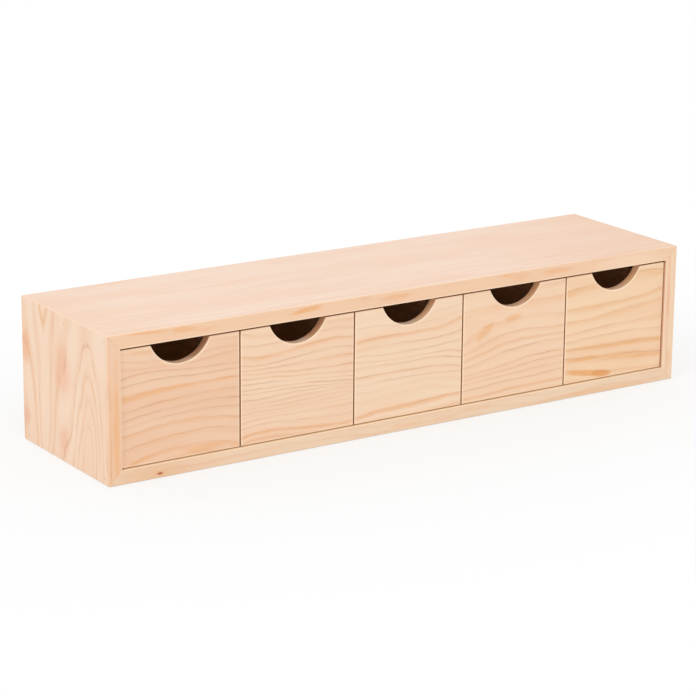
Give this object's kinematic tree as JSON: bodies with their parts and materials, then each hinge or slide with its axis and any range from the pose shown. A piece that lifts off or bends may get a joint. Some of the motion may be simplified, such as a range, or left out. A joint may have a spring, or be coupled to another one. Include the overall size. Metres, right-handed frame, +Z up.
{
  "type": "drawer organizer",
  "caption": "Long low pine desktop case with a row of equal pull-out drawers, each front cut with a half-round finger notch in its top edge.",
  "frame": {"origin": "middle of the case's underside, at its bottom face", "axes": "+Z up, +X along the case's length to the right seen from the front, drawers open towards -Y"},
  "size_m": [0.6, 0.155, 0.129],
  "materials": {
    "pine": "bare, sanded, matte",
    "plywood": "bare plywood, matte",
    "brad_steel": "bright drawn wire"
  },
  "bodies": {
    "case": {"top_board": "pine", "bottom_board": "pine", "left_side_board": "pine", "right_side_board": "pine", "back_panel": "plywood", "divider_1": "plywood", "divider_2": "plywood", "divider_3": "plywood", "divider_4": "plywood", "corner_brads": "brad_steel", "back_brads": "brad_steel"},
    "drawer_1": {"drawer_1_front": "pine", "drawer_1_left_side": "pine", "drawer_1_right_side": "pine", "drawer_1_back": "pine", "drawer_1_bottom": "plywood", "drawer_1_brads": "brad_steel"},
    "drawer_2": {"drawer_2_front": "pine", "drawer_2_left_side": "pine", "drawer_2_right_side": "pine", "drawer_2_back": "pine", "drawer_2_bottom": "plywood", "drawer_2_brads": "brad_steel"},
    "drawer_3": {"drawer_3_front": "pine", "drawer_3_left_side": "pine", "drawer_3_right_side": "pine", "drawer_3_back": "pine", "drawer_3_bottom": "plywood", "drawer_3_brads": "brad_steel"},
    "drawer_4": {"drawer_4_front": "pine", "drawer_4_left_side": "pine", "drawer_4_right_side": "pine", "drawer_4_back": "pine", "drawer_4_bottom": "plywood", "drawer_4_brads": "brad_steel"},
    "drawer_5": {"drawer_5_front": "pine", "drawer_5_left_side": "pine", "drawer_5_right_side": "pine", "drawer_5_back": "pine", "drawer_5_bottom": "plywood", "drawer_5_brads": "brad_steel"}
  },
  "joints": [
    {"name": "drawer_1_slide", "type": "slide", "parent": "case", "child": "drawer_1", "axis": [0, -1, 0], "range_m": [0, 0.135]},
    {"name": "drawer_2_slide", "type": "slide", "parent": "case", "child": "drawer_2", "axis": [0, -1, 0], "range_m": [0, 0.135]},
    {"name": "drawer_3_slide", "type": "slide", "parent": "case", "child": "drawer_3", "axis": [0, -1, 0], "range_m": [0, 0.135]},
    {"name": "drawer_4_slide", "type": "slide", "parent": "case", "child": "drawer_4", "axis": [0, -1, 0], "range_m": [0, 0.135]},
    {"name": "drawer_5_slide", "type": "slide", "parent": "case", "child": "drawer_5", "axis": [0, -1, 0], "range_m": [0, 0.135]}
  ]
}
